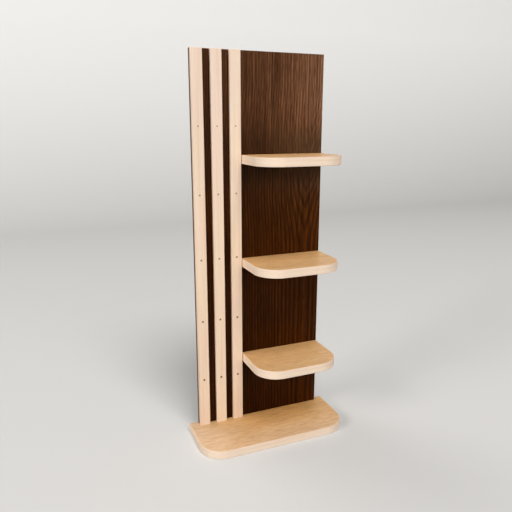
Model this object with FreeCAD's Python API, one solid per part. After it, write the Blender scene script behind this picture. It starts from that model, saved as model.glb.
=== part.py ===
import FreeCAD, Part
import math
import os

from FreeCAD import Vector

# A wall shelf: a dark upright panel with three pale slats on its left, three D-shaped shelves on its right
# and a wider base that the panel and the slats stand on.
# X runs to the right, Y into the wall, Z up. The origin is under the middle of the whole shelf.

# Panel and boards, in millimetres
panel_width = 292.0
panel_height = 800.0
panel_thickness = 10.0
board_thickness = 18.0
shelf_depth = 122.0
corner_radius = 50.0
base_overhang = 21.5
lowest_shelf_top = 157.0
shelf_pitch = 219.7

# Slats
slat_count = 3
slat_width = 23.0
slat_thickness = 8.0
slat_pitch = 39.3
slat_to_shelf_gap = 1.4
slat_arris = 0.6

# Edge bands
board_band = 2.0
board_arris = 0.8
panel_band = 1.0
panel_arris = 0.4

# Panel pins in the slats
pin_rows = 5
lowest_pin = 110.0
pin_pitch = 136.0
pin_length = 14.0
pin_head_diameter = 2.6
pin_head_thickness = 0.5
pin_head_taper = 0.4
pin_shank_diameter = 1.5
pin_set_below_face = 0.15

# Screws and dowels
shelf_screw_diameter = 4.0
shelf_screw_length = 40.0
shelf_screw_spacing = 130.0
base_screw_diameter = 3.5
base_screw_length = 50.0
base_screw_spacing = 120.0
base_screw_count = 3
dowel_diameter = 6.0
dowel_length = 25.0
dowel_depth_in_panel_face = 6.0
dowel_depth_in_base = 12.0
dowel_chamfer = 0.8
shelf_dowel_spacing = 80.0
base_dowel_spacing = 120.0
head_set_below_face = 0.2

# Small fasteners and their holes are drawn with this many flat sides
small_round_sides = 12

# Screw and pin forms, as shares of the shank's diameter
screw_point = 1.5
pin_point = 2.0
blunt_end = 0.1
cross_arm = 1.15
cross_width = 0.22
cross_depth = 0.3

# Keyhole hangers
hanger_spacing = 200.0
hanger_below_top = 60.0
hanger_width = 18.0
hanger_height = 46.0
hanger_thickness = 1.5
hanger_pocket_depth = 6.5
keyhole_entry_diameter = 9.0
keyhole_slot_width = 4.5
keyhole_drop = 10.0
keyhole_head_room = 1.0
hanger_screw_diameter = 3.0
hanger_screw_length = 8.0
hanger_screw_spacing = 34.0
hanger_screw_set = 0.05

# Clearances
round_gap = 0.05
clear_hole_gap = 0.25
hole_end_gap = 1.0
short_hole_end_gap = 0.5
recess_gap = 0.1
cut_past_face = 1.0

# Places that follow from the sizes above
overall_depth = shelf_depth + panel_thickness
wall_plane = overall_depth / 2
front_plane = -overall_depth / 2
panel_front = wall_plane - panel_thickness
panel_middle = wall_plane - panel_thickness / 2
panel_left = -panel_width / 2
panel_right = panel_width / 2
base_top = board_thickness
panel_top = base_top + panel_height
slat_front = panel_front - slat_thickness
slat_lefts = [panel_left + index * slat_pitch for index in range(slat_count)]
shelf_left = slat_lefts[-1] + slat_width + slat_to_shelf_gap
shelf_middle_x = (shelf_left + panel_right) / 2
shelf_names = ["lower", "middle", "upper"]
shelf_tops = [base_top + lowest_shelf_top + index * shelf_pitch for index in range(len(shelf_names))]
slat_names = ["left", "middle", "right"]
pin_heights = [base_top + lowest_pin + row * pin_pitch for row in range(pin_rows)]
hanger_level = panel_top - hanger_below_top
hanger_places = {"left": -hanger_spacing / 2, "right": hanger_spacing / 2}
keyhole_entry_level = hanger_level - keyhole_drop / 2

to_wall = Vector(0, 1, 0)
to_front = Vector(0, -1, 0)
up = Vector(0, 0, 1)
parts = {}


# Shared forms

def block(left, right_side, front, back, bottom, top):
    """A square-edged block between two corners."""
    return Part.makeBox(right_side - left, back - front, top - bottom, Vector(left, front, bottom))


def d_board(left, right_side, front, back, radius, bottom, top):
    """A board with a straight back, straight ends and two rounded front corners."""
    corner = radius * (1 - math.cos(math.radians(45)))
    left_back = Vector(left, back, bottom)
    left_end = Vector(left, front + radius, bottom)
    left_turn = Vector(left + corner, front + corner, bottom)
    front_start = Vector(left + radius, front, bottom)
    front_end = Vector(right_side - radius, front, bottom)
    right_turn = Vector(right_side - corner, front + corner, bottom)
    right_end = Vector(right_side, front + radius, bottom)
    right_back = Vector(right_side, back, bottom)
    outline = Part.Wire([
        Part.makeLine(left_back, left_end),
        Part.Arc(left_end, left_turn, front_start).toShape(),
        Part.makeLine(front_start, front_end),
        Part.Arc(front_end, right_turn, right_end).toShape(),
        Part.makeLine(right_end, right_back),
        Part.makeLine(right_back, left_back),
    ])
    return Part.Face(outline).extrude(up * (top - bottom))


def middle_of(edge):
    """The point halfway along an edge."""
    return edge.valueAt((edge.FirstParameter + edge.LastParameter) / 2)


def ease_edges(shape, size, wanted):
    """Take a small flat off the edges whose middle point passes the test."""
    return shape.makeChamfer(size, [edge for edge in shape.Edges if wanted(middle_of(edge))])


def flat_face(corners):
    """A flat face inside a closed row of corners."""
    return Part.Face(Part.makePolygon(corners + corners[:1]))


def turned(profile):
    """A small round piece with flat sides, from its half outline of (radius, distance along the axis)."""
    turns = [2 * math.pi * side / small_round_sides for side in range(small_round_sides)]
    rings = [
        [Vector(radius * math.cos(turn), radius * math.sin(turn), along) for turn in turns]
        for radius, along in profile
    ]
    faces = [flat_face(rings[0]), flat_face(rings[-1])]
    for ring, following in zip(rings, rings[1:]):
        for side in range(small_round_sides):
            previous = side - 1
            faces.append(flat_face([ring[previous], ring[side], following[side], following[previous]]))
    return Part.Solid(Part.Shell(faces))


def placed(shape, start, direction):
    """A copy of a piece made along Z, set at a point and turned to a direction."""
    copy = shape.copy()
    copy.Placement = FreeCAD.Placement(start, FreeCAD.Rotation(up, direction))
    return copy


def stadium(width, height, middle_x, middle_z, front, back):
    """An upright slot form with half-round ends, between two planes of constant Y."""
    radius = width / 2
    straight = height / 2 - radius
    low = middle_z - straight
    high = middle_z + straight
    low_left = Vector(middle_x - radius, front, low)
    low_right = Vector(middle_x + radius, front, low)
    high_left = Vector(middle_x - radius, front, high)
    high_right = Vector(middle_x + radius, front, high)
    outline = Part.Wire([
        Part.makeLine(high_left, low_left),
        Part.Arc(low_left, Vector(middle_x, front, low - radius), low_right).toShape(),
        Part.makeLine(low_right, high_right),
        Part.Arc(high_right, Vector(middle_x, front, high + radius), high_left).toShape(),
    ])
    return Part.Face(outline).extrude(to_wall * (back - front))


def countersunk_screw(diameter, length):
    """A wood screw with a flush conical head, a plain shank, a point and a cross recess."""
    shank = diameter / 2
    head = diameter
    head_height = head - shank
    point_start = length - screw_point * diameter
    tip = blunt_end * diameter
    body = turned([(head, 0), (shank, head_height), (shank, point_start), (tip, length)])
    arm = cross_arm * diameter / 2
    half_width = cross_width * diameter / 2
    depth = cross_depth * diameter
    along = block(-arm, arm, -half_width, half_width, 0, depth)
    across = block(-half_width, half_width, -arm, arm, 0, depth)
    return body.cut(along.fuse(across))


def countersunk_hole(diameter, depth, set_below):
    """The space for a countersunk head and its shank in the piece that the screw clamps."""
    head = diameter + round_gap
    shank = diameter / 2 + clear_hole_gap
    cone_end = set_below + head - shank
    start = -cut_past_face
    end = depth + cut_past_face
    return turned([(head, start), (head, set_below), (shank, cone_end), (shank, end)])


def round_hole(diameter, depth):
    """A straight hole that starts just outside the surface it is drilled into."""
    radius = diameter / 2 + round_gap
    return turned([(radius, -cut_past_face), (radius, depth)])


def save(name, *solids):
    """Keep a node: one solid, or a group of like solids."""
    parts[name] = solids[0] if len(solids) == 1 else Part.makeCompound(list(solids))


# Fixing points

shelf_screw_points = {}
shelf_dowel_points = {}
for name, top in zip(shelf_names, shelf_tops):
    level = top - board_thickness / 2
    shelf_screw_points[name] = [
        Vector(shelf_middle_x + side * shelf_screw_spacing / 2, wall_plane, level) for side in (-1, 1)
    ]
    shelf_dowel_points[name] = [
        Vector(shelf_middle_x + side * shelf_dowel_spacing / 2, panel_front, level) for side in (-1, 1)
    ]
base_screw_points = [
    Vector((index - (base_screw_count - 1) / 2) * base_screw_spacing, panel_middle, 0)
    for index in range(base_screw_count)
]
base_dowel_points = [Vector(side * base_dowel_spacing / 2, panel_middle, base_top) for side in (-1, 1)]
pin_points = {
    name: [Vector(left + slat_width / 2, slat_front, height) for height in pin_heights]
    for name, left in zip(slat_names, slat_lefts)
}
hanger_screw_points = {
    name: [Vector(x, wall_plane, hanger_level + side * hanger_screw_spacing / 2) for side in (-1, 1)]
    for name, x in hanger_places.items()
}

# Slats: planed strips with eased front edges, pinned to the panel

pin = turned([
    (pin_head_diameter / 2, 0),
    (pin_head_diameter / 2, pin_head_thickness),
    (pin_shank_diameter / 2, pin_head_thickness + pin_head_taper),
    (pin_shank_diameter / 2, pin_length - pin_point * pin_shank_diameter),
    (blunt_end * pin_shank_diameter, pin_length),
])
pin_head_hole = round_hole(pin_head_diameter, pin_set_below_face + pin_head_thickness + pin_head_taper)
pin_shank_hole = round_hole(pin_shank_diameter, pin_length + hole_end_gap)
for name, left in zip(slat_names, slat_lefts):
    slat = block(left, left + slat_width, slat_front, panel_front, base_top, panel_top)
    slat = ease_edges(slat, slat_arris, lambda point: point.y < panel_front and point.z > base_top)
    holes = [placed(pin_head_hole, point, to_wall) for point in pin_points[name]]
    holes += [placed(pin_shank_hole, point, to_wall) for point in pin_points[name]]
    save("slat_" + name, slat.cut(holes))
    pin_starts = [point + to_wall * pin_set_below_face for point in pin_points[name]]
    save("slat_pins_" + name, *[placed(pin, start, to_wall) for start in pin_starts])

# Shelves and base: D-shaped boards, each with a band wrapped round its ends, corners and front

shelf_screw_pilot = round_hole(shelf_screw_diameter, shelf_screw_length - panel_thickness + hole_end_gap)
shelf_dowel_hole = round_hole(dowel_diameter, dowel_length - dowel_depth_in_panel_face + hole_end_gap)
base_dowel_hole = round_hole(dowel_diameter, dowel_depth_in_base + hole_end_gap)
base_screw_hole = countersunk_hole(base_screw_diameter, board_thickness, head_set_below_face)


def banded_board(left, right_side, back, top, holes):
    """The drilled board inside its band, and the band."""
    bottom = top - board_thickness
    whole = d_board(left, right_side, front_plane, back, corner_radius, bottom, top)
    whole = ease_edges(whole, board_arris, lambda point: point.y < back and point.z in (bottom, top))
    core = d_board(
        left + board_band, right_side - board_band, front_plane + board_band, back,
        corner_radius - board_band, bottom, top,
    )
    return core.cut(holes), whole.cut(core)


for name, top in zip(shelf_names, shelf_tops):
    screw_starts = [Vector(point.x, panel_front, point.z) for point in shelf_screw_points[name]]
    holes = [placed(shelf_screw_pilot, start, to_front) for start in screw_starts]
    holes += [placed(shelf_dowel_hole, point, to_front) for point in shelf_dowel_points[name]]
    core, band = banded_board(shelf_left, panel_right, panel_front, top, holes)
    save("shelf_" + name, core)
    save("shelf_edge_band_" + name, band)

holes = [placed(base_dowel_hole, point, -up) for point in base_dowel_points]
holes += [placed(base_screw_hole, point, up) for point in base_screw_points]
base_left = panel_left - base_overhang
base_right = panel_right + base_overhang
core, band = banded_board(base_left, base_right, wall_plane, base_top, holes)
save("base_shelf", core)
save("base_edge_band", band)

# Keyhole hangers: steel plates let flush into the panel's back, with room behind for the wall screws' heads

hanger_screw_hole = countersunk_hole(hanger_screw_diameter, hanger_thickness, hanger_screw_set)
slot_height = keyhole_drop + keyhole_slot_width
recess_width = hanger_width + 2 * recess_gap
recess_height = hanger_height + 2 * recess_gap
pocket_width = keyhole_entry_diameter + 2 * keyhole_head_room
pocket_height = keyhole_drop + pocket_width
pocket_floor = wall_plane - hanger_pocket_depth
plate_front = wall_plane - hanger_thickness
past_wall = wall_plane + cut_past_face
hanger_recesses = []
for name, x in hanger_places.items():
    plate = stadium(hanger_width, hanger_height, x, hanger_level, plate_front, wall_plane)
    entry_start = Vector(x, plate_front - cut_past_face, keyhole_entry_level)
    entry_length = hanger_thickness + 2 * cut_past_face
    entry = Part.makeCylinder(keyhole_entry_diameter / 2, entry_length, entry_start, to_wall)
    slot = stadium(keyhole_slot_width, slot_height, x, hanger_level, plate_front - cut_past_face, past_wall)
    screw_holes = [placed(hanger_screw_hole, point, to_front) for point in hanger_screw_points[name]]
    save("hanger_plate_" + name, plate.cut([entry.fuse(slot)] + screw_holes))
    recess = stadium(recess_width, recess_height, x, hanger_level, plate_front, past_wall)
    pocket = stadium(pocket_width, pocket_height, x, hanger_level, pocket_floor, past_wall)
    hanger_recesses.append(recess.fuse(pocket))

# Back panel: a veneered board drilled for every fixing, with thin bands on its three open edges

core_left = panel_left + panel_band
core_right = panel_right - panel_band
core_top = panel_top - panel_band
panel = block(core_left, core_right, panel_front, wall_plane, base_top, core_top)
shelf_screw_hole = countersunk_hole(shelf_screw_diameter, panel_thickness, head_set_below_face)
panel_dowel_hole = round_hole(dowel_diameter, dowel_depth_in_panel_face + short_hole_end_gap)
panel_edge_dowel_hole = round_hole(dowel_diameter, dowel_length - dowel_depth_in_base + hole_end_gap)
panel_edge_pilot = round_hole(base_screw_diameter, base_screw_length - board_thickness + hole_end_gap)
panel_pin_hole = round_hole(pin_shank_diameter, pin_length - slat_thickness + short_hole_end_gap)
hanger_pilot = round_hole(hanger_screw_diameter, hanger_screw_length + short_hole_end_gap)
panel_holes = list(hanger_recesses)
for name in shelf_names:
    panel_holes += [placed(shelf_screw_hole, point, to_front) for point in shelf_screw_points[name]]
    panel_holes += [placed(panel_dowel_hole, point, to_wall) for point in shelf_dowel_points[name]]
for name in slat_names:
    starts = [point + to_wall * slat_thickness for point in pin_points[name]]
    panel_holes += [placed(panel_pin_hole, start, to_wall) for start in starts]
for name in hanger_places:
    panel_holes += [placed(hanger_pilot, point, to_front) for point in hanger_screw_points[name]]
panel_holes += [placed(panel_edge_dowel_hole, point, up) for point in base_dowel_points]
panel_holes += [placed(panel_edge_pilot, point + up * base_top, up) for point in base_screw_points]
save("back_panel", panel.cut(panel_holes))

left_band = block(panel_left, core_left, panel_front, wall_plane, base_top, core_top)
right_band = block(core_right, panel_right, panel_front, wall_plane, base_top, core_top)
top_band = block(panel_left, panel_right, panel_front, wall_plane, core_top, panel_top)
faces = (panel_front, wall_plane)
save("panel_edge_band_left", ease_edges(
    left_band, panel_arris, lambda point: point.x == panel_left and point.y in faces,
))
save("panel_edge_band_right", ease_edges(
    right_band, panel_arris, lambda point: point.x == panel_right and point.y in faces,
))
save("panel_edge_band_top", ease_edges(
    top_band, panel_arris, lambda point: point.z == panel_top and point.y in faces,
))

# Screws and dowels

shelf_screw = countersunk_screw(shelf_screw_diameter, shelf_screw_length)
base_screw = countersunk_screw(base_screw_diameter, base_screw_length)
hanger_screw = countersunk_screw(hanger_screw_diameter, hanger_screw_length)
dowel_end = dowel_diameter / 2 - dowel_chamfer
dowel = turned([
    (dowel_end, 0),
    (dowel_diameter / 2, dowel_chamfer),
    (dowel_diameter / 2, dowel_length - dowel_chamfer),
    (dowel_end, dowel_length),
])
for name in shelf_names:
    screw_starts = [point + to_front * head_set_below_face for point in shelf_screw_points[name]]
    save("shelf_screws_" + name, *[placed(shelf_screw, start, to_front) for start in screw_starts])
    dowel_starts = [point + to_wall * dowel_depth_in_panel_face for point in shelf_dowel_points[name]]
    save("shelf_dowels_" + name, *[placed(dowel, start, to_front) for start in dowel_starts])
screw_starts = [point + up * head_set_below_face for point in base_screw_points]
save("base_screws", *[placed(base_screw, start, up) for start in screw_starts])
dowel_starts = [point - up * dowel_depth_in_base for point in base_dowel_points]
save("base_dowels", *[placed(dowel, start, up) for start in dowel_starts])
for name in hanger_places:
    screw_starts = [point + to_front * hanger_screw_set for point in hanger_screw_points[name]]
    save("hanger_screws_" + name, *[placed(hanger_screw, start, to_front) for start in screw_starts])

# Write one file for each node

os.makedirs("parts", exist_ok=True)
for name, shape in parts.items():
    shape.exportStep("parts/" + name + ".step")
    print(name, "valid" if shape.isValid() else "not valid", len(shape.Solids), round(shape.Volume, 1))
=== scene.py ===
import math

import bmesh
import bpy
from mathutils import Matrix, Vector


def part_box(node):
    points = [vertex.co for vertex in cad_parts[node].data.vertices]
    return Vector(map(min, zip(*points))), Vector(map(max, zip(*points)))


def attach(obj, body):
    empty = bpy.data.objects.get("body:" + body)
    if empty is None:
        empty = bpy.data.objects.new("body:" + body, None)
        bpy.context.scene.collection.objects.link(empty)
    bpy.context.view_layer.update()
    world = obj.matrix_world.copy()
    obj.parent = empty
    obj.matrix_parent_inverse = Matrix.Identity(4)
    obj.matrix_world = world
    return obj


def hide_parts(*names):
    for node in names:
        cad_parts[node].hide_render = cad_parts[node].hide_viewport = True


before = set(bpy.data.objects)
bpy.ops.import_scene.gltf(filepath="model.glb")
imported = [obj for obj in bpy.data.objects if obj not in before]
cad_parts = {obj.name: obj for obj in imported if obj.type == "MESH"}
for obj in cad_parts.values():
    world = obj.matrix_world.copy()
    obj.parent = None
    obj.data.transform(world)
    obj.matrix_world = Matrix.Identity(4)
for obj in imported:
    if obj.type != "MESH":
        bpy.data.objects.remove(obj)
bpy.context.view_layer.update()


# Back panel. The real one is a 10 mm board faced with dark-stained veneer, its grain upright with one long
# pointed figure near the right edge. A painted sheen makes it paler towards the top right. It is drilled
# from behind for the shelf screws and let in for the hangers, and every other piece is fixed to it.

mm = 0.001
panel_half_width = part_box("panel_edge_band_top")[1].x

# The grain: growth rings that run upright and close in a pointed figure, which leans to the right
ring_spacing = 6 * mm
ring_wander = 14 * mm
figure_point = 400 * mm
figure_heart = 850 * mm
figure_half_width = 66 * mm
figure_sharpness = 16 * mm
figure_middle = 107 * mm
figure_top_middle = 130 * mm
figure_leans_from = 520 * mm
figure_leans_to = 750 * mm

# A painted sheen that pales the stain, more so higher up and to the right, and less so between the
# slats, where it is held back as painted shade
sheen_from_height = 470 * mm
fullest_sheen_height = 735 * mm
sheen_from_left = -110 * mm
sheen_at_left = 0.22
sheen_at_right = 0.64
slats_part_to = -75 * mm
open_part_from = -45 * mm
sheen_between_slats = 0.55

# A painted reflection: a greyer haze in a band about the upper shelf that is stronger to the right
haze_height = 608 * mm
haze_core = 20 * mm
haze_reach = 85 * mm
haze_from_left = -50 * mm
haziest_right = 120 * mm
haze_at_left = 0.08
haze_at_right = 0.32

# Painted light and shade over the stain's random patches: painted light at a pale cheek beside the
# figure's point and to the right, and painted shade to the left, at the foot and by the shelf
cheek_height = 500 * mm
cheek_core = 20 * mm
cheek_reach = 80 * mm
cheek_from_left = 50 * mm
cheek_at_left = 0.32
light_at_cheek = 0.50
light_at_right = 0.20
shade_at_left = -0.34
shade_at_foot = -0.20
foot_height = 100 * mm
foot_fades_out = 600 * mm
shade_by_shelf = -0.24

# Colours of the stained wood, of the wood under the painted sheen, of the painted haze, of pores and of
# the lacquer's sheen
stained_late_wood = (0.024, 0.0055, 0.0006)
stained_early_wood = (0.068, 0.0176, 0.0019)
stained_mid_wood = (0.053, 0.0135, 0.0015)
sheen_late_wood = (0.128, 0.055, 0.025)
sheen_early_wood = (0.217, 0.099, 0.052)
sheen_mid_wood = (0.187, 0.084, 0.042)
painted_haze = (0.095, 0.074, 0.040)
dark_pore = (0.016, 0.005, 0.001)
warm_sheen = (1.0, 0.56, 0.30)

# How many times as bright the wood is, in red, green and blue, where a pattern darkens it or lightens it
dark_fibre = (0.54, 0.51, 0.48)
pale_fibre = (1.44, 1.47, 1.50)
dark_dash = (0.80, 0.79, 0.78)
pale_dash = (1.20, 1.21, 1.22)
deep_patch = (0.45, 0.40, 0.36)
as_it_is = (1.0, 1.0, 1.0)
pale_patch = (1.5, 1.65, 1.9)


def new_finish(name):
    """A material that holds only its shader, and that shader."""
    finish = bpy.data.materials.new(name)
    finish.use_nodes = True
    return finish, finish.node_tree.nodes["Principled BSDF"]


def feed(finish, node, values):
    """Writes a number or colour into a node's input, or joins another node's output to it."""
    for name, value in values.items():
        if isinstance(value, bpy.types.NodeSocket):
            finish.node_tree.links.new(value, node.inputs[name])
        else:
            node.inputs[name].default_value = value


def opaque(colour):
    """A colour that covers fully, as a node's input takes it."""
    return (*colour, 1.0)


def place_on_piece(finish):
    """The point on the piece, in metres, in the frame that all pieces share."""
    return finish.node_tree.nodes.new("ShaderNodeTexCoord").outputs["Object"]


def measured(finish, point, axis):
    """How far a point is along one axis: X to the right, Y into the wall or Z up."""
    axes = finish.node_tree.nodes.new("ShaderNodeSeparateXYZ")
    feed(finish, axes, {0: point})
    return axes.outputs[axis]


def worked_out(finish, operation, first, second=0.0):
    """One sum on two shares or lengths."""
    node = finish.node_tree.nodes.new("ShaderNodeMath")
    node.operation = operation
    feed(finish, node, {0: first, 1: second})
    return node.outputs[0]


def away_from(finish, place, level):
    """How far a place is from a level, on either side of it."""
    return worked_out(finish, "ABSOLUTE", worked_out(finish, "SUBTRACT", place, level))


def straight_line(finish, first, second):
    """The length of a line that runs so far one way and so far square to it."""
    squares = [worked_out(finish, "MULTIPLY", side, side) for side in (first, second)]
    return worked_out(finish, "SQRT", worked_out(finish, "ADD", *squares))


def drawn_out(finish, point, patches, detail=2.0, roughness=0.5):
    """Soft random patches, with the number of patches per metre along each of the three directions."""
    stretch = finish.node_tree.nodes.new("ShaderNodeMapping")
    feed(finish, stretch, {"Vector": point, "Scale": patches})
    noise = finish.node_tree.nodes.new("ShaderNodeTexNoise")
    feed(finish, noise, {"Vector": stretch.outputs[0], "Scale": 1.0})
    feed(finish, noise, {"Detail": detail, "Roughness": roughness})
    return noise.outputs[0]


def spread(finish, share, from_low, from_high, to_low, to_high, eased=False):
    """A share moved from one range to another and held at its ends, with a soft start and stop if eased."""
    node = finish.node_tree.nodes.new("ShaderNodeMapRange")
    node.interpolation_type = "SMOOTHSTEP" if eased else "LINEAR"
    feed(finish, node, {0: share, 1: from_low, 2: from_high, 3: to_low, 4: to_high})
    return node.outputs[0]


def tones(finish, share, stops):
    """A colour for each share, blended between stops of (share, colour)."""
    ramp = finish.node_tree.nodes.new("ShaderNodeValToRGB")
    elements = ramp.color_ramp.elements
    while len(elements) < len(stops):
        elements.new(1.0)
    for element, (place, colour) in zip(elements, stops):
        element.position = place
        element.color = opaque(colour)
    feed(finish, ramp, {"Fac": share})
    return ramp.outputs["Color"]


def blended(finish, how, share, first, second):
    """Two colours laid over each other."""
    mix = finish.node_tree.nodes.new("ShaderNodeMix")
    mix.data_type = "RGBA"
    mix.blend_type = how
    feed(finish, mix, {0: share, 6: first, 7: second})
    return mix.outputs[2]


def laid_over(finish, share, wood, colour):
    """A wood that turns to another colour by a share."""
    return blended(finish, "MIX", share, wood, opaque(colour))


def toned(finish, wood, share, stops, strength=1.0):
    """A wood made darker or paler, each of its colours by so many times, as a pattern runs over it."""
    return blended(finish, "MULTIPLY", strength, wood, tones(finish, share, stops))


def relief(finish, height, depth):
    """Fine relief that is too small to model, as deep as given in metres."""
    bump = finish.node_tree.nodes.new("ShaderNodeBump")
    feed(finish, bump, {"Height": height, "Distance": depth, "Strength": 1.0})
    return bump.outputs[0]


def growth_ring(finish, point):
    """How far a point of the panel is through its growth ring, from 0 to 1."""
    across = measured(finish, point, "X")
    height = measured(finish, point, "Z")
    waver = drawn_out(finish, point, (6, 6, 1.4), detail=5.0)
    wander = spread(finish, waver, 0.0, 1.0, -ring_wander, ring_wander)
    middle = spread(finish, height, figure_leans_from, figure_leans_to, figure_middle, figure_top_middle)
    aside = worked_out(finish, "ADD", worked_out(finish, "SUBTRACT", across, middle), wander)
    aside = worked_out(finish, "ADD", worked_out(finish, "ABSOLUTE", aside), figure_sharpness)
    along = spread(finish, height, figure_point, figure_heart, figure_half_width, 0.0, eased=True)
    from_heart = straight_line(finish, aside, along)
    return worked_out(finish, "FRACT", worked_out(finish, "DIVIDE", from_heart, ring_spacing))


def ring_tones(finish, ring, late, early, mid):
    """The tone across a growth ring, from its dark late wood to its pale early wood and back."""
    return tones(finish, ring, [(0.0, late), (0.3, early), (0.6, mid), (1.0, late)])


def painted_sheen(finish, across, height):
    """How strong the painted sheen is: none low down, most at the top right, less between the slats."""
    upper_part = spread(finish, height, sheen_from_height, fullest_sheen_height, 0.0, 1.0, eased=True)
    right_part = spread(finish, across, sheen_from_left, panel_half_width, sheen_at_left, sheen_at_right)
    # Less painted sheen between the slats, which stands for their shade
    open_part = spread(finish, across, slats_part_to, open_part_from, sheen_between_slats, 1.0)
    right_part = worked_out(finish, "MULTIPLY", right_part, open_part)
    return worked_out(finish, "MULTIPLY", upper_part, right_part)


def stain_patches_and_painted_light(finish, point, near_shelf):
    """Random stain patches, with painted light to the right and painted shade to the left, foot and shelf."""
    across = measured(finish, point, "X")
    height = measured(finish, point, "Z")
    patches = spread(finish, drawn_out(finish, point, (9, 9, 2.2)), 0.0, 1.0, 0.24, 0.74)
    # Painted shade to the left, between the slats, and painted light to the right
    side = spread(finish, across, -panel_half_width, panel_half_width, shade_at_left, light_at_right)
    # Painted shade, darker towards the foot
    foot = spread(finish, height, foot_height, foot_fades_out, shade_at_foot, 0.0)
    # Painted shade by the upper shelf
    shelf = worked_out(finish, "MULTIPLY", near_shelf, shade_by_shelf)
    # A painted pool of light at the right, at the cheek's height
    from_cheek = away_from(finish, height, cheek_height)
    pale_height = spread(finish, from_cheek, cheek_core, cheek_reach, light_at_cheek, 0.0, eased=True)
    pale_side = spread(finish, across, cheek_from_left, panel_half_width, cheek_at_left, 1.0, eased=True)
    cheek = worked_out(finish, "MULTIPLY", pale_height, pale_side)
    for change in (side, foot, shelf, cheek):
        patches = worked_out(finish, "ADD", patches, change)
    return patches


def dark_veneer():
    """Dark-stained open-pored veneer with upright grain and a pointed figure."""
    finish, shader = new_finish("dark_stained_veneer")
    point = place_on_piece(finish)
    across = measured(finish, point, "X")
    height = measured(finish, point, "Z")
    ring = growth_ring(finish, point)
    wood = ring_tones(finish, ring, stained_late_wood, stained_early_wood, stained_mid_wood)
    sheen_wood = ring_tones(finish, ring, sheen_late_wood, sheen_early_wood, sheen_mid_wood)
    # Painted sheen: the stained wood turns paler and greyer towards the top right
    wood = blended(finish, "MIX", painted_sheen(finish, across, height), wood, sheen_wood)
    fibre = drawn_out(finish, point, (330, 330, 4), detail=4.0, roughness=0.65)
    wood = toned(finish, wood, fibre, [(0.36, dark_fibre), (0.64, pale_fibre)])
    dash = drawn_out(finish, point, (290, 290, 34), detail=1.0)
    wood = toned(finish, wood, dash, [(0.3, dark_dash), (0.7, pale_dash)])
    from_shelf = away_from(finish, height, haze_height)
    near_shelf = spread(finish, from_shelf, haze_core, haze_reach, 1.0, 0.0, eased=True)
    haze_side = spread(finish, across, haze_from_left, haziest_right, haze_at_left, haze_at_right)
    # Painted reflection: a pale haze laid over the wood about the upper shelf
    wood = laid_over(finish, worked_out(finish, "MULTIPLY", near_shelf, haze_side), wood, painted_haze)
    # Random patches together with painted light and shade, which make the wood deeper or paler
    patches = stain_patches_and_painted_light(finish, point, near_shelf)
    wood = toned(finish, wood, patches, [(0.1, deep_patch), (0.5, as_it_is), (0.8, pale_patch)])
    pores = drawn_out(finish, point, (1300, 1300, 40), detail=1.0)
    pore_share = spread(finish, pores, 0.56, 0.68, 0.0, 0.7)
    feed(finish, shader, {
        "Base Color": laid_over(finish, pore_share, wood, dark_pore),
        "Roughness": spread(finish, fibre, 0.35, 0.65, 0.37, 0.24),
        "Specular IOR Level": 0.09,
        "Specular Tint": opaque(warm_sheen),
        "Normal": relief(finish, worked_out(finish, "SUBTRACT", fibre, pore_share), 0.06 * mm),
    })
    return finish


def paint(node_name, finish):
    """Gives a solid that stays as it is its finish."""
    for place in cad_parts[node_name].material_slots:
        place.material = finish


paint("back_panel", dark_veneer())


# Panel edge bands. Thin dark strips glued over the panel's raw left, right and top edges and trimmed flush.
# Their outer arrises are rounded by hand, and they are coloured paler than the panel's face, a painted sheen.

arris_steps = 5
smooth_below = 40
panel_arris = 0.4 * mm
dark_strip = (0.062, 0.027, 0.012)
painted_sheen_strip = (0.130, 0.064, 0.033)
strip_sheen = (1.0, 0.75, 0.55)


def arc(middle, radius, start, end, steps):
    """Points on an arc, angles in degrees."""
    turns = [math.radians(start + (end - start) * step / steps) for step in range(steps + 1)]
    return [(middle[0] + radius * math.cos(turn), middle[1] + radius * math.sin(turn)) for turn in turns]


def closed_piece(name, solid):
    """Turns a bmesh into an object with outward faces, smooth over curves and crisp at corners."""
    bmesh.ops.recalc_face_normals(solid, faces=solid.faces)
    mesh = bpy.data.meshes.new(name)
    solid.to_mesh(mesh)
    solid.free()
    mesh.shade_smooth()
    mesh.set_sharp_from_angle(angle=math.radians(smooth_below))
    piece = bpy.data.objects.new(name, mesh)
    bpy.context.scene.collection.objects.link(piece)
    even = piece.modifiers.new("flat_faces_stay_flat", "WEIGHTED_NORMAL")
    even.keep_sharp = True
    return piece


def skin(name, cuts):
    """A closed piece through a row of cuts across it, each with the same number of points in a ring."""
    solid = bmesh.new()
    grain = solid.loops.layers.uv.new("grain")
    rings = [[solid.verts.new(point) for point in cut] for cut in cuts]
    along = 0.0
    for ring, following in zip(rings, rings[1:]):
        reach = along + max((second.co - first.co).length for first, second in zip(ring, following))
        around = 0.0
        for index in range(len(ring)):
            corners = (ring[index - 1], ring[index], following[index], following[index - 1])
            side = (ring[index].co - ring[index - 1].co).length
            face = solid.faces.new(corners)
            places = ((along, around), (along, around + side), (reach, around + side), (reach, around))
            for loop, place in zip(face.loops, places):
                loop[grain].uv = place
            around += side
        along = reach
    solid.faces.new(rings[0])
    solid.faces.new(rings[-1])
    return closed_piece(name, solid)


def fit(piece, finish, slot, *nodes):
    """Finishes a piece and puts it in the place of the solids that it stands for."""
    piece.data.materials.append(finish)
    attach(piece, "root")
    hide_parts(*nodes)


def strip_profile(inside, outside, front, back, radius):
    """A thin strip cut across: flat where it is glued, its two outer corners rounded."""
    outward = 1 if outside > inside else -1
    corner = outside - outward * radius
    rounded = arc((0.0, front + radius), radius, -90, 0, arris_steps)
    rounded += arc((0.0, back - radius), radius, 0, 90, arris_steps)
    return [(inside, front)] + [(corner + outward * out, y) for out, y in rounded] + [(inside, back)]


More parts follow.
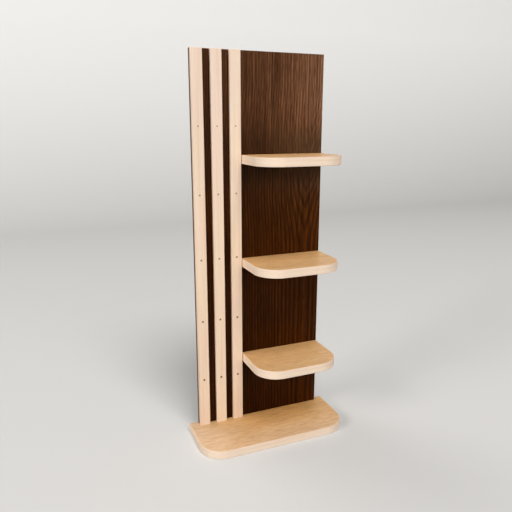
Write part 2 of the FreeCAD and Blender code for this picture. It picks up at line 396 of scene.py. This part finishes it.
def painted_sheen_band():
    """Dark-stained edge strip, coloured paler than the panel as a painted sheen on its arrises."""
    finish, shader = new_finish("dark_edge_strip_with_painted_sheen")
    fibre = drawn_out(finish, place_on_piece(finish), (260, 700, 9), detail=3.0)
    feed(finish, shader, {
        # Painted sheen: the pale fibres make the strip paler than the panel's face
        "Base Color": tones(finish, fibre, [(0.3, dark_strip), (0.7, painted_sheen_strip)]),
        "Roughness": spread(finish, fibre, 0.3, 0.7, 0.55, 0.42),
        "Specular IOR Level": 0.15,
        "Specular Tint": opaque(strip_sheen),
        "Normal": relief(finish, fibre, 0.04 * mm),
    })
    return finish


dark_band = painted_sheen_band()
for side, inner, outer in (("left", 1, 0), ("right", 0, 1)):
    node = "panel_edge_band_" + side
    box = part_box(node)
    low, high = box
    profile = strip_profile(box[inner].x, box[outer].x, low.y, high.y, panel_arris)
    cuts = [[(x, y, z) for x, y in profile] for z in (low.z, high.z)]
    fit(skin(side + "_panel_strip", cuts), dark_band, "panel_edge_band", node)
low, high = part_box("panel_edge_band_top")
profile = strip_profile(low.z, high.z, low.y, high.y, panel_arris)
cuts = [[(x, y, z) for z, y in profile] for x in (low.x, high.x)]
fit(skin("top_panel_strip", cuts), dark_band, "panel_edge_band", "panel_edge_band_top")


# Slats. Three planed strips of pale close-grained wood, 23 x 8 mm and as tall as the panel. Their front
# edges are eased, and each has five stepped holes for the pins that hold it to the panel.

slat_sides = ("left", "middle", "right")
slat_thickness = 8 * mm
slat_arris = 0.7 * mm
slat_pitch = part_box("slat_middle")[0].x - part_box("slat_left")[0].x
top_turn = 80

pin_set = 0.15 * mm
pin_head = 1.3 * mm
pin_head_depth = 0.9 * mm
pin_shank = 0.75 * mm
pin_rows = 5
low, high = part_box("slat_pins_left")
first_pin_across = low.x + pin_head
first_pin_height = low.z + pin_head
last_pin_height = high.z - pin_head
pin_pitch = (last_pin_height - first_pin_height) / (pin_rows - 1)
pin_heights = [first_pin_height + row * pin_pitch for row in range(pin_rows)]
hole_gap = 0.05 * mm
hole_step = 0.01 * mm
cut_past = 1 * mm
round_sides = 32
into_wall = Vector((0, 1, 0))

slat_dark_streak = (0.80, 0.575, 0.415)
slat_wood = (0.86, 0.655, 0.495)
slat_pale_streak = (0.885, 0.70, 0.55)
slat_fleck = (0.66, 0.44, 0.29)
slat_pink = (1.0, 0.97, 0.97)
slat_straw = (1.0, 1.01, 0.97)
pin_shade_colour = (0.24, 0.082, 0.014)
pin_shade_core = 1.3 * pin_head
pin_shade_reach = 2.3 * pin_head
pin_shade_at_top = 0.12


def slat_cut(low, high, height, inset):
    """A slat cut across, with its front corners rounded and its three open sides drawn in."""
    radius = slat_arris - inset
    left_corner = (low.x + slat_arris, low.y + slat_arris)
    right_corner = (high.x - slat_arris, low.y + slat_arris)
    outline = arc(left_corner, radius, 180, 270, arris_steps)
    outline += arc(right_corner, radius, 270, 360, arris_steps)
    outline += [(high.x - inset, high.y), (low.x + inset, high.y)]
    return [(x, y, height) for x, y in outline]


def slat_cuts(low, high):
    """A slat's cuts from its square foot to its rounded top."""
    cuts = [slat_cut(low, high, low.z, 0.0)]
    for step in range(arris_steps):
        turn = math.radians(top_turn * step / (arris_steps - 1))
        height = high.z - slat_arris * (1 - math.sin(turn))
        cuts.append(slat_cut(low, high, height, slat_arris * (1 - math.cos(turn))))
    cuts[-1] = [(x, y, high.z) for x, y, z in cuts[-1]]
    return cuts


def halfway(low, high):
    """The place in the middle between two others."""
    return (low + high) / 2


def ring_turns(sides):
    """The angles of a ring's points."""
    return [2 * math.pi * side / sides for side in range(sides)]


def on_ring(radius, turn, distance):
    """A point of a ring round the Z axis."""
    return Vector((radius * math.cos(turn), radius * math.sin(turn), distance))


def aimed(start, direction):
    """Moves a piece made along Z to a start and turns it to a direction."""
    return Matrix.Translation(start) @ direction.to_track_quat("Z", "Y").to_matrix().to_4x4()


def turned(name, outline, start, direction):
    """A round piece from (radius, distance) pairs, set at a point and pointing along a direction."""
    aim = aimed(start, direction)
    turns = ring_turns(round_sides)
    cuts = [[aim @ on_ring(radius, turn, distance) for turn in turns] for radius, distance in outline]
    return skin(name, cuts)


def joined(name, parts):
    """Several loose pieces made into one object."""
    whole = bmesh.new()
    for part in parts:
        whole.from_mesh(part.data)
        bpy.data.objects.remove(part)
    return closed_piece(name, whole)


def drilled(piece, cutter):
    """Takes a cutter's space out of a piece and throws the cutter away."""
    cut = piece.modifiers.new("drilled", "BOOLEAN")
    cut.object = cutter
    cut.solver = "EXACT"
    piece.modifiers.move(len(piece.modifiers) - 1, 0)
    # Only the cut is worked into the mesh, and the modifier for flat faces stays on the piece
    piece.modifiers["flat_faces_stay_flat"].show_viewport = False
    view = bpy.context.evaluated_depsgraph_get()
    mesh = bpy.data.meshes.new_from_object(piece.evaluated_get(view))
    piece.modifiers.remove(cut)
    piece.modifiers["flat_faces_stay_flat"].show_viewport = True
    piece.data = mesh
    bpy.data.objects.remove(cutter)


def from_nearest(finish, place, first, pitch):
    """How far a place is from the nearest in an even row."""
    return worked_out(finish, "PINGPONG", worked_out(finish, "SUBTRACT", place, first), pitch / 2)


def pale_wood():
    """Pale close-grained wood, faint upright streaks and painted shade round the pins, under a matt lacquer.
    """
    finish, shader = new_finish("pale_slat_wood")
    point = place_on_piece(finish)
    across = measured(finish, point, "X")
    # Held above the last pin, so that the even row of painted pin shade ends there
    height = worked_out(finish, "MINIMUM", measured(finish, point, "Z"), last_pin_height + pin_pitch / 2)
    streak = drawn_out(finish, point, (190, 190, 3.5), detail=3.0, roughness=0.6)
    wood = tones(finish, streak, [(0.28, slat_dark_streak), (0.5, slat_wood), (0.72, slat_pale_streak)])
    blush = drawn_out(finish, point, (30, 30, 7))
    wood = toned(finish, wood, blush, [(0.35, slat_pink), (0.65, slat_straw)])
    fleck = drawn_out(finish, point, (900, 900, 50), detail=1.0)
    fleck_share = spread(finish, fleck, 0.62, 0.74, 0.0, 0.30)
    wood = laid_over(finish, fleck_share, wood, slat_fleck)
    # Painted shade darkens the foot by the base and a painted highlight greys the head, by height in metres
    wood = toned(finish, wood, height, [
        (0.02, (0.87, 0.865, 0.86)),
        (0.10, (0.985, 0.985, 0.98)),
        (0.40, (1.02, 1.03, 1.04)),
        (0.74, (0.985, 1.02, 1.09)),
    ])
    pin_aside = from_nearest(finish, across, first_pin_across, slat_pitch)
    pin_above = from_nearest(finish, height, first_pin_height, pin_pitch)
    from_pin = straight_line(finish, pin_aside, pin_above)
    # Painted shade round each pin, strongest at the bottom pins and weak at the top
    pin_shade_by_height = spread(finish, height, first_pin_height, last_pin_height, 1.0, pin_shade_at_top)
    shade_round_pin = spread(finish, from_pin, pin_shade_core, pin_shade_reach, pin_shade_by_height, 0.0, eased=True)
    feed(finish, shader, {
        "Base Color": laid_over(finish, shade_round_pin, wood, pin_shade_colour),
        "Roughness": spread(finish, streak, 0.3, 0.7, 0.56, 0.46),
        "Specular IOR Level": 0.3,
        "Normal": relief(finish, worked_out(finish, "SUBTRACT", streak, fleck_share), 0.04 * mm),
    })
    return finish


def pin_places(side, below_face):
    """Where a slat's five pins or pin holes start."""
    low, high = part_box("slat_" + side)
    return [Vector((halfway(low.x, high.x), low.y + below_face, height)) for height in pin_heights]


slat_finish = pale_wood()
head_end = pin_set + pin_head_depth
pin_hole = [
    (pin_head + hole_gap, -cut_past),
    (pin_head + hole_gap, head_end),
    (pin_shank + hole_gap, head_end + hole_step),
    (pin_shank + hole_gap, slat_thickness + cut_past),
]
for side in slat_sides:
    slat = skin(side + "_slat", slat_cuts(*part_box("slat_" + side)))
    holes = [turned("hole", pin_hole, place, into_wall) for place in pin_places(side, 0.0)]
    drilled(slat, joined("cutter", holes))
    fit(slat, slat_finish, "slat_wood", "slat_" + side)


# Slat pins. Browned steel panel pins, 14 mm long, driven through each slat into the panel and set just
# below the face, so that they show as five small dots in a row, coloured darkest at the bottom and paler
# towards the top.

pin_length = 14 * mm
pin_point = 3 * mm
pin_outline = [
    (0.35 * mm, 0.0),
    (0.85 * mm, 0.03 * mm),
    (1.15 * mm, 0.10 * mm),
    (pin_head, 0.22 * mm),
    (pin_head, 0.50 * mm),
    (pin_shank, pin_head_depth),
    (pin_shank, pin_length - pin_point),
    (0.15 * mm, pin_length),
]
dark_pin = (0.020, 0.009, 0.004)
brown_pin = (0.060, 0.028, 0.012)
paler_pin = (0.40, 0.25, 0.15)
paler_at_top = 0.62


def browned_steel():
    """Steel browned by heat, mottled and slightly rough."""
    finish, shader = new_finish("browned_pin_steel")
    point = place_on_piece(finish)
    height = measured(finish, point, "Z")
    mottle = drawn_out(finish, point, (1800, 1800, 1800), detail=3.0)
    steel = tones(finish, mottle, [(0.3, dark_pin), (0.7, brown_pin)])
    # The pins are coloured paler towards the top
    paler_towards_top = spread(finish, height, first_pin_height, last_pin_height, 0.0, paler_at_top, eased=True)
    feed(finish, shader, {
        "Base Color": laid_over(finish, paler_towards_top, steel, paler_pin),
        "Metallic": 0.15,
        "Roughness": spread(finish, mottle, 0.3, 0.7, 0.65, 0.5),
        "Specular IOR Level": 0.12,
        "Normal": relief(finish, mottle, 0.03 * mm),
    })
    return finish


pin_finish = browned_steel()
for side in slat_sides:
    pins = [turned("pin", pin_outline, place, into_wall) for place in pin_places(side, pin_set)]
    fit(joined(side + "_pins", pins), pin_finish, "pin_metal", "slat_pins_" + side)


# Shelf boards. Three 18 mm boards faced with straight-grained veneer in a warm tan, the grain running from
# side to side, with painted light at the front and left and painted shade by the panel. Each is drilled
# in its back edge for dowels and screws and butts against the panel.

shelf_levels = ("lower", "middle", "upper")
low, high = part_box("base_edge_band")
board_front = low.y
base_half_width = high.x
panel_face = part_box("back_panel")[0].y

# Painted light: a paler left end, whose border slants, and a paler front, weaker on the two lower shelves
end_slants_over = 50 * mm
end_slant = 55 * mm
lit_end_from = -150 * mm
lit_end_to = -20 * mm
lit_at_end = 0.64
lit_front_to = 20 * mm
weak_front_height = 280 * mm
weak_front_core = 120 * mm
weak_front_reach = 250 * mm
weak_front = 0.12
full_front = 0.46

# Painted shade by the panel, which on the base also changes from left to right
shade_from = -30 * mm
base_below = 20 * mm
shelves_above = 100 * mm

# Colours of the veneer and of its painted light, how many times as bright the painted shade by the panel
# leaves it, and its pores
tan_dark_streak = (0.580, 0.330, 0.140)
tan_wood = (0.610, 0.357, 0.156)
tan_pale_streak = (0.640, 0.386, 0.175)
painted_light_tan = (0.650, 0.460, 0.318)
painted_shade_by_panel = (1.0, 0.955, 0.88)
tan_pore = (0.22, 0.105, 0.040)


def painted_light_parts(finish, point):
    """How much painted light the veneer takes: at its left end, behind a slanting border, and at its front.
    """
    across = measured(finish, point, "X")
    inward = measured(finish, point, "Y")
    height = measured(finish, point, "Z")
    slant = spread(finish, inward, 0.0, end_slants_over, 0.0, end_slant)
    slanted = worked_out(finish, "ADD", across, slant)
    lit_end = spread(finish, slanted, lit_end_from, lit_end_to, lit_at_end, 0.0, eased=True)
    from_weak = away_from(finish, height, weak_front_height)
    front_share = spread(finish, from_weak, weak_front_core, weak_front_reach, weak_front, full_front)
    lit_front = spread(finish, inward, board_front, lit_front_to, front_share, 0.0)
    return worked_out(finish, "MAXIMUM", lit_end, lit_front)


def tan_veneer():
    """Warm tan veneer with short fine flecks along its grain."""
    finish, shader = new_finish("tan_board_veneer")
    point = place_on_piece(finish)
    across = measured(finish, point, "X")
    inward = measured(finish, point, "Y")
    height = measured(finish, point, "Z")
    band = drawn_out(finish, point, (5, 80, 80))
    wood = tones(finish, band, [(0.3, tan_dark_streak), (0.5, tan_wood), (0.7, tan_pale_streak)])
    # Painted light on the left end and the front
    wood = laid_over(finish, painted_light_parts(finish, point), wood, painted_light_tan)
    # Painted shade by the panel
    near_panel = spread(finish, inward, shade_from, panel_face, 0.0, 1.0)
    wood = blended(finish, "MULTIPLY", near_panel, wood, opaque(painted_shade_by_panel))
    on_base = spread(finish, height, base_below, shelves_above, 1.0, 0.0)
    shaded = worked_out(finish, "MULTIPLY", near_panel, on_base)
    from_left = spread(finish, across, -base_half_width, base_half_width, 0.0, 1.0)
    # Painted shade and light on the base by the panel: darker and cooler before the slats, brighter and
    # warmer before the open panel
    wood = toned(finish, wood, from_left, [
        (0.05, (0.82, 0.89, 1.0)),
        (0.33, (0.87, 0.89, 0.92)),
        (0.42, (1.18, 1.11, 0.92)),
        (0.75, (1.32, 1.22, 0.96)),
        (0.95, (0.97, 1.0, 1.03)),
    ], strength=shaded)
    stroke = drawn_out(finish, point, (24, 240, 240), detail=1.0)
    wood = toned(finish, wood, stroke, [
        (0.30, (0.915, 0.885, 0.845)),
        (0.46, as_it_is),
        (0.7, (1.03, 1.035, 1.04)),
    ])
    fleck = drawn_out(finish, point, (50, 400, 400), roughness=0.6)
    wood = toned(finish, wood, fleck, [
        (0.32, (0.86, 0.83, 0.79)),
        (0.5, as_it_is),
        (0.68, (1.09, 1.11, 1.13)),
    ])
    pores = drawn_out(finish, point, (110, 1700, 1700), detail=1.0)
    pore_share = spread(finish, pores, 0.6, 0.72, 0.0, 0.3)
    feed(finish, shader, {
        "Base Color": laid_over(finish, pore_share, wood, tan_pore),
        "Roughness": spread(finish, fleck, 0.3, 0.7, 0.50, 0.38),
        "Specular IOR Level": 0.3,
        "Normal": relief(finish, worked_out(finish, "SUBTRACT", fleck, pore_share), 0.05 * mm),
    })
    return finish


board_finish = tan_veneer()
for level in shelf_levels:
    paint("shelf_" + level, board_finish)


# Shelf edge bands. A 2 mm strip of pale wood bent round each board from the panel, along the left end, round
# both front corners and back along the right end. Its two outer arrises are rounded over, and the upper one
# is coloured deeper, a painted shade where the lamps light it most.

band_thickness = 2 * mm
band_arris = 0.9 * mm
corner_radius = 50 * mm
corner_steps = 28
band_dark_streak = (0.825, 0.605, 0.440)
band_wood = (0.880, 0.700, 0.548)
band_pale_streak = (0.882, 0.728, 0.594)
band_line = (0.60, 0.39, 0.24)
painted_arris_shade = (0.615, 0.412, 0.256)
arris_shade_share = 0.8


def d_route(left, right, front, back, radius):
    """The outer line of a band in plan, as (point, outward direction), from back left to back right."""
    route = [((left, back), (-1.0, 0.0))]
    for corner, start in (((left + radius, front + radius), 180), ((right - radius, front + radius), 270)):
        for x, y in arc(corner, radius, start, start + 90, corner_steps):
            outward = ((x - corner[0]) / radius, (y - corner[1]) / radius)
            route.append(((x, y), outward))
    route.append(((right, back), (1.0, 0.0)))
    return route


def band_profile(bottom, top):
    """A band cut across: how far in from the outer line, and how high."""
    low_corner = arc((band_arris, bottom + band_arris), band_arris, 270, 180, arris_steps)
    high_corner = arc((band_arris, top - band_arris), band_arris, 180, 90, arris_steps)
    return [(band_thickness, bottom)] + low_corner + high_corner + [(band_thickness, top)]


def wrapped_band(name, node):
    """A band bent round a board, in the place of its solid."""
    low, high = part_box(node)
    profile = band_profile(low.z, high.z)
    cuts = [
        [(x - out_x * inward, y - out_y * inward, z) for inward, z in profile]
        for (x, y), (out_x, out_y) in d_route(low.x, high.x, low.y, high.y, corner_radius)
    ]
    fit(skin(name, cuts), pale_band_finish, "board_edge_band", node)


def pale_band():
    """Pale edge strip whose fine streaks run along it, round the corners."""
    finish, shader = new_finish("pale_edge_strip")
    route = finish.node_tree.nodes.new("ShaderNodeUVMap")
    route.uv_map = "grain"
    streak = drawn_out(finish, route.outputs[0], (5, 210, 1), detail=4.0, roughness=0.6)
    wood = tones(finish, streak, [(0.28, band_dark_streak), (0.5, band_wood), (0.72, band_pale_streak)])
    line = drawn_out(finish, route.outputs[0], (24, 1300, 1), detail=1.0)
    line_share = spread(finish, line, 0.62, 0.72, 0.0, 0.42)
    wood = laid_over(finish, line_share, wood, band_line)
    # Painted shade on the upward-facing arris, where the lamps light the band most
    facing = finish.node_tree.nodes.new("ShaderNodeTexCoord").outputs["Normal"]
    facing_up = measured(finish, facing, "Z")
    arris_shade = spread(finish, facing_up, 0.1, 0.85, 0.0, arris_shade_share, eased=True)
    feed(finish, shader, {
        "Base Color": laid_over(finish, arris_shade, wood, painted_arris_shade),
        "Roughness": spread(finish, streak, 0.3, 0.7, 0.54, 0.44),
        "Specular IOR Level": 0.22,
        "Normal": relief(finish, worked_out(finish, "SUBTRACT", streak, line_share), 0.04 * mm),
    })
    return finish


pale_band_finish = pale_band()
for level in shelf_levels:
    wrapped_band(level + "_shelf_band", "shelf_edge_band_" + level)


# Base. A wider board of the same make, with the same band round it. The panel and the slats stand on it, and
# three screws come up through countersunk holes in its underside.

paint("base_shelf", board_finish)
wrapped_band("base_band", "base_edge_band")


# Dowels. Fluted beech pegs, 6 mm thick and 25 mm long with eased ends, glued half in the panel and half in
# a shelf or the base. They are hidden once the shelf is together.

dowel_radius = 3 * mm
dowel_flutes = 12
points_per_flute = 6
flute_depth = 0.25 * mm
dowel_end = 0.8 * mm
upward = Vector((0, 0, 1))
beech_fleck = (0.42, 0.25, 0.13)
beech_wood = (0.60, 0.40, 0.24)

# The solids of small round pieces have twelve flat sides, and a round piece just fits inside those flats
inside_flats = math.cos(math.pi / 12)


def beech():
    """Plain beech with short dark flecks."""
    finish, shader = new_finish("beech_dowel_wood")
    fleck = drawn_out(finish, place_on_piece(finish), (700, 250, 250))
    feed(finish, shader, {
        "Base Color": tones(finish, fleck, [(0.35, beech_fleck), (0.65, beech_wood)]),
        "Roughness": spread(finish, fleck, 0.3, 0.7, 0.7, 0.58),
        "Specular IOR Level": 0.3,
        "Normal": relief(finish, fleck, 0.05 * mm),
    })
    return finish


def fluted_dowel(start, direction, length):
    """A dowel with shallow grooves along it."""
    aim = aimed(start, direction)
    cuts = []
    for narrowing, distance in ((dowel_end, 0), (0, dowel_end), (0, length - dowel_end), (dowel_end, length)):
        ring = []
        for turn in ring_turns(dowel_flutes * points_per_flute):
            groove = flute_depth * (0.5 + 0.5 * math.cos(dowel_flutes * turn))
            radius = dowel_radius * inside_flats - narrowing - groove
            ring.append(aim @ on_ring(radius, turn, distance))
        cuts.append(ring)
    return skin("dowel", cuts)


dowel_finish = beech()
for level in shelf_levels + ("base",):
    node = "base_dowels" if level == "base" else "shelf_dowels_" + level
    low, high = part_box(node)
    across = (low.x + dowel_radius, high.x - dowel_radius)
    if level == "base":
        direction = upward
        starts = [Vector((x, halfway(low.y, high.y), low.z)) for x in across]
        length = high.z - low.z
    else:
        direction = into_wall
        starts = [Vector((x, low.y, halfway(low.z, high.z))) for x in across]
        length = high.y - low.y
    dowels = joined(level + "_dowel_pair", [fluted_dowel(start, direction, length) for start in starts])
    fit(dowels, dowel_finish, "dowel_wood", node)


# Screws. Countersunk wood screws with a cross recess, plated in yellow zinc, driven through the panel's back
# into each shelf and up through the base into the panel. Their heads sit just below the surface.

shelf_screw = 4 * mm
base_screw = 3.5 * mm
out_of_wall = Vector((0, -1, 0))
screw_sides = 24
thread_steps = 8
yellow_zinc = (0.78, 0.70, 0.50)
clouded_yellow_zinc = (0.54, 0.48, 0.34)

# A screw's form in screw diameters, with the reach and half width of the cross at its mouth and foot
rim_height = 0.06
thread_pitch = 0.42
point_length = 1.5
cross_start = -0.1
cross_depth = 0.45
cross_mouth = (0.62, 0.13)
cross_foot = (0.26, 0.09)

# Shares: rim of the head, core of the shank, plain part of the length, half a ridge of the pitch, blunt point
rim_share = 0.97
core_share = 0.72
plain_share = 0.2
ridge_share = 0.28
blunt_share = 0.06


def plated_steel(name, pale, dark):
    """Zinc-plated steel, faintly clouded."""
    finish, shader = new_finish(name)
    cloud = drawn_out(finish, place_on_piece(finish), (260, 260, 260), detail=3.0)
    feed(finish, shader, {
        "Base Color": tones(finish, cloud, [(0.3, dark), (0.7, pale)]),
        "Metallic": 1.0,
        "Roughness": spread(finish, cloud, 0.3, 0.7, 0.42, 0.28),
        "Normal": relief(finish, cloud, 0.01 * mm),
    })
    return finish


def screw_cuts(diameter, length):
    """Rings of a countersunk screw along its axis: head, plain shank, spiral thread and point."""
    head = diameter * inside_flats
    shank = diameter / 2 * inside_flats
    core = shank * core_share
    pitch = thread_pitch * diameter
    cone_end = head - shank
    plain_end = cone_end + plain_share * (length - cone_end)
    turns = ring_turns(screw_sides)
    plain = [(head * rim_share, 0.0), (head, rim_height * diameter), (shank, cone_end), (shank, plain_end)]
    rings = [[on_ring(radius, turn, level) for turn in turns] for radius, level in plain]
    step = pitch / thread_steps
    level = plain_end + step
    while level < length:
        taper = min(1.0, max(blunt_share, (length - level) / (point_length * diameter)))
        ring = []
        for side, turn in enumerate(turns):
            phase = ((level - plain_end) / pitch - side / screw_sides) % 1.0
            ridge = max(0.0, 1.0 - abs(phase - 0.5) / ridge_share)
            ring.append(on_ring((core + (shank - core) * ridge) * taper, turn, level))
        rings.append(ring)
        level += step
    return rings


def cross_cutter(diameter):
    """The two tapered arms of the cross that a driver fits."""
    arms = []
    for turn in (0.0, math.pi / 2):
        spin = Matrix.Rotation(turn, 3, "Z")
        cuts = []
        for level, (reach, half) in ((cross_start, cross_mouth), (cross_depth, cross_foot)):
            long, wide = reach * diameter, half * diameter
            corners = ((-long, -wide), (long, -wide), (long, wide), (-long, wide))
            cuts.append([spin @ Vector((x, y, level * diameter)) for x, y in corners])
        arms.append(skin("arm", cuts))
    return arms


def screw_set(name, diameter, length, starts, direction):
    """Like screws driven along one direction, as one piece."""
    screw = skin("screw", screw_cuts(diameter, length))
    for arm in cross_cutter(diameter):
        drilled(screw, arm)
    copies = []
    for start in starts:
        copy = bpy.data.objects.new("screw", screw.data.copy())
        copy.data.transform(aimed(start, direction))
        copies.append(copy)
    bpy.data.objects.remove(screw)
    return joined(name, copies)


screw_finish = plated_steel("yellow_zinc_screws", yellow_zinc, clouded_yellow_zinc)
for level in shelf_levels:
    node = "shelf_screws_" + level
    low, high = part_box(node)
    row = (low.x + shelf_screw, high.x - shelf_screw)
    starts = [Vector((x, high.y, halfway(low.z, high.z))) for x in row]
    screws = screw_set(level + "_shelf_screw_pair", shelf_screw, high.y - low.y, starts, out_of_wall)
    fit(screws, screw_finish, "screw_steel", node)
low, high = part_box("base_screws")
row = (low.x + base_screw, halfway(low.x, high.x), high.x - base_screw)
starts = [Vector((x, halfway(low.y, high.y), low.z)) for x in row]
screws = screw_set("base_screw_row", base_screw, high.z - low.z, starts, upward)
fit(screws, screw_finish, "screw_steel", "base_screws")


# Keyhole hangers. Two pressed steel plates in bright zinc, let flush into the panel's back. The wall screws'
# heads go in at the round opening and slide up the slot. Two short screws hold each plate.

plate_arris = 0.2 * mm
plate_end_steps = 20
keyhole_entry = 4.5 * mm
keyhole_slot = 2.25 * mm
keyhole_drop = 10 * mm
plate_screw = 3 * mm
plate_screw_spacing = 34 * mm
plate_screw_set = 0.05 * mm
plate_screw_gap = 0.25 * mm
through_plate = 4 * mm
bright_zinc = (0.60, 0.605, 0.61)
clouded_bright_zinc = (0.42, 0.425, 0.43)


def stadium(middle_x, middle_z, radius, straight):
    """An upright outline with half-round ends, as (x, z)."""
    outline = arc((middle_x, middle_z + straight / 2), radius, 0, 180, plate_end_steps)
    return outline + arc((middle_x, middle_z - straight / 2), radius, 180, 360, plate_end_steps)


def stadium_block(name, middle_x, middle_z, radius, straight, levels):
    """A stadium outline through levels of (depth, inset)."""
    cuts = [
        [(x, depth, z) for x, z in stadium(middle_x, middle_z, radius - inset, straight)]
        for depth, inset in levels
    ]
    return skin(name, cuts)


def keyhole_plate(name, low, high, holds):
    """A plate with an eased back face, its keyhole, and countersunk holes for the screws that hold it."""
    middle_x = halfway(low.x, high.x)
    middle_z = halfway(low.z, high.z)
    radius = (high.x - low.x) / 2
    straight = high.z - low.z - 2 * radius
    levels = [(low.y, 0.0), (high.y - plate_arris, 0.0), (high.y, plate_arris)]
    plate = stadium_block(name, middle_x, middle_z, radius, straight, levels)
    past = [(low.y - cut_past, 0.0), (high.y + cut_past, 0.0)]
    drilled(plate, stadium_block("slot", middle_x, middle_z, keyhole_slot, keyhole_drop, past))
    entry = Vector((middle_x, low.y - cut_past, middle_z - keyhole_drop / 2))
    entry_outline = [(keyhole_entry, 0.0), (keyhole_entry, through_plate)]
    drilled(plate, turned("entry", entry_outline, entry, into_wall))
    shank = plate_screw / 2 + plate_screw_gap
    head = plate_screw + hole_gap
    sink_end = plate_screw_set + head - shank
    sink = [(head, -cut_past), (head, plate_screw_set), (shank, sink_end), (shank, through_plate)]
    for hold in holds:
        drilled(plate, turned("sink", sink, hold, out_of_wall))
    return plate


plate_finish = plated_steel("bright_zinc_plates", bright_zinc, clouded_bright_zinc)
for side in ("left", "right"):
    node = "hanger_plate_" + side
    low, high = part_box(node)
    hold_heights = [halfway(low.z, high.z) + way * plate_screw_spacing / 2 for way in (-1, 1)]
    holds = [Vector((halfway(low.x, high.x), high.y, height)) for height in hold_heights]
    fit(keyhole_plate(side + "_hanger_plate", low, high, holds), plate_finish, "hanger_steel", node)
    screw_node = "hanger_screws_" + side
    low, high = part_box(screw_node)
    starts = [Vector((hold.x, high.y, hold.z)) for hold in holds]
    screws = screw_set(side + "_hanger_screw_pair", plate_screw, high.y - low.y, starts, out_of_wall)
    fit(screws, screw_finish, "screw_steel", screw_node)


# Studio. A pale floor that sweeps up behind into a backdrop, and four large soft lamps: one high in front,
# a broad low one in front, one from the left and a weak one from behind on the left. The camera stands where
# the photograph was taken from.

sweep_half_width = 15.0
sweep_front = -5.0
sweep_turn = 2.6
sweep_radius = 1.6
sweep_steps = 24
sweep_height = 4.0
paper_as_seen = (0.54, 0.532, 0.522)
paper_to_the_shelf = (0.22, 0.216, 0.212)
paper_glow = (1.0, 0.99, 0.975)
glow_of_floor = 0.06
glow_of_backdrop = 0.36

lamp_distance = 12.0
lamps_aim = Vector((0.0, 0.0, 0.45))
high_light = (1.0, 0.99, 0.975)
warm_light = (1.0, 0.985, 0.96)
air_colour = (1.0, 0.992, 0.98)
air_to_the_shelf = 0.12
air_as_seen = 0.76

camera_place = (-0.4366, -0.9923, 0.6760)
camera_yaw = 22.22
camera_pitch = 13.88
camera_lens = 37.53
camera_film = 36.0


def shown_to_the_eye(finish):
    """One for what is seen, straight or in a reflection, and nought for light on its way to the shelf."""
    path = finish.node_tree.nodes.new("ShaderNodeLightPath")
    shown = worked_out(finish, "MAXIMUM", path.outputs["Is Camera Ray"], path.outputs["Is Glossy Ray"])
    return worked_out(finish, "MAXIMUM", shown, path.outputs["Is Transmission Ray"])


def pale_sweep():
    """Plain pale paper that gives back less light to the shelf than it shows to the camera."""
    finish, shader = new_finish("pale_paper")
    shown = shown_to_the_eye(finish)
    height = measured(finish, place_on_piece(finish), "Z")
    glow = spread(finish, height, 0.0, sweep_radius, glow_of_floor, glow_of_backdrop)
    feed(finish, shader, {
        "Base Color": blended(finish, "MIX", shown, opaque(paper_to_the_shelf), opaque(paper_as_seen)),
        "Roughness": 0.9,
        "Specular IOR Level": 0.0,
        "Emission Color": opaque(paper_glow),
        "Emission Strength": worked_out(finish, "MULTIPLY", shown, glow),
    })
    return finish


def lamp(name, to_right, upward_tilt, wide, high, level, colour):
    """A soft lamp that faces the shelf. At level 1 it alone shows a facing surface as it is written."""
    turn, tilt = math.radians(to_right), math.radians(upward_tilt)
    way = Vector((math.sin(turn) * math.cos(tilt), -math.cos(turn) * math.cos(tilt), math.sin(tilt)))
    data = bpy.data.lights.new(name, "AREA")
    data.shape = "RECTANGLE"
    data.size = wide
    data.size_y = high
    data.energy = level * (math.pi * lamp_distance) ** 2
    data.color = colour
    light = bpy.data.objects.new(name, data)
    light.location = lamps_aim + way * lamp_distance
    light.rotation_euler = (-way).to_track_quat("-Z", "Y").to_euler()
    bpy.context.scene.collection.objects.link(light)


line = [(sweep_front, 0.0)]
line += arc((sweep_turn, sweep_radius), sweep_radius, -90, 0, sweep_steps)
line += [(sweep_turn + sweep_radius, sweep_height)]
sweep = bmesh.new()
rows = [[sweep.verts.new((x, y, z)) for y, z in line] for x in (-sweep_half_width, sweep_half_width)]
for index in range(len(line) - 1):
    sweep.faces.new((rows[0][index], rows[1][index], rows[1][index + 1], rows[0][index + 1]))
mesh = bpy.data.meshes.new("floor_sweep")
sweep.to_mesh(mesh)
sweep.free()
mesh.shade_smooth()
mesh.materials.append(pale_sweep())
floor = bpy.data.objects.new("floor_sweep", mesh)
bpy.context.scene.collection.objects.link(floor)

lamp("high_lamp", to_right=0, upward_tilt=58, wide=5.2, high=5.2, level=0.79, colour=high_light)
lamp("front_lamp", to_right=9, upward_tilt=13, wide=8.6, high=5.2, level=0.30, colour=warm_light)
lamp("left_lamp", to_right=-75, upward_tilt=25, wide=3.8, high=3.8, level=0.54, colour=warm_light)
lamp("back_lamp", to_right=-150, upward_tilt=50, wide=5.2, high=5.2, level=0.25, colour=warm_light)

world = bpy.data.worlds.new("studio_air")
world.use_nodes = True
air = world.node_tree.nodes["Background"]
air_strength = spread(world, shown_to_the_eye(world), 0.0, 1.0, air_to_the_shelf, air_as_seen)
feed(world, air, {"Color": opaque(air_colour), "Strength": air_strength})
bpy.context.scene.world = world
bpy.context.scene.view_settings.view_transform = "Standard"

lens = bpy.data.cameras.new("photo_camera")
lens.lens = camera_lens
lens.sensor_width = camera_film
camera = bpy.data.objects.new("photo_camera", lens)
camera.location = camera_place
camera.rotation_euler = (math.radians(90 - camera_pitch), 0.0, math.radians(-camera_yaw))
bpy.context.scene.collection.objects.link(camera)
bpy.context.scene.camera = camera
